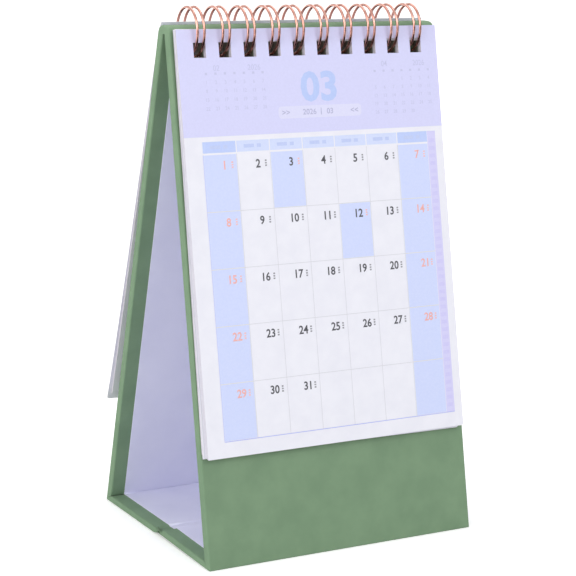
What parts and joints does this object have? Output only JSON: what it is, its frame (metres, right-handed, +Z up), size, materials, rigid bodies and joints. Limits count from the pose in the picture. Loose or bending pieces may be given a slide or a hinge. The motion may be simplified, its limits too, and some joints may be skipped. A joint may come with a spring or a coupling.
{
  "type": "standing desk calendar",
  "caption": "Tall wrapped-board A-frame stand with month leaves hung on a twin-loop wire over its top edge.",
  "frame": {"origin": "on the surface that the stand rests on, under the middle of the object", "axes": "+X to the right across the front page, +Y towards the back panel, +Z up"},
  "size_m": [0.094, 0.0744, 0.1643],
  "materials": {
    "green_paper": "uncoated sage green covering paper with a fine fibre grain",
    "greyboard": "pressed grey bookbinding board",
    "liner_paper": "smooth pale lavender lining paper",
    "leaf_paper": "smooth white offset paper printed in pale blue and lavender",
    "plated_wire": "bright copper-coloured plated steel wire"
  },
  "bodies": {
    "root": {"cover_wrap": "green_paper", "front_board": "greyboard", "back_board": "greyboard", "base_front_board": "greyboard", "base_rear_board": "greyboard", "liner": "liner_paper", "following_leaf_pad": "leaf_paper", "front_leaf_pad": "leaf_paper", "turned_leaf_pad": "leaf_paper", "last_leaf": "leaf_paper", "wire_binding": "plated_wire"}
  },
  "joints": []
}
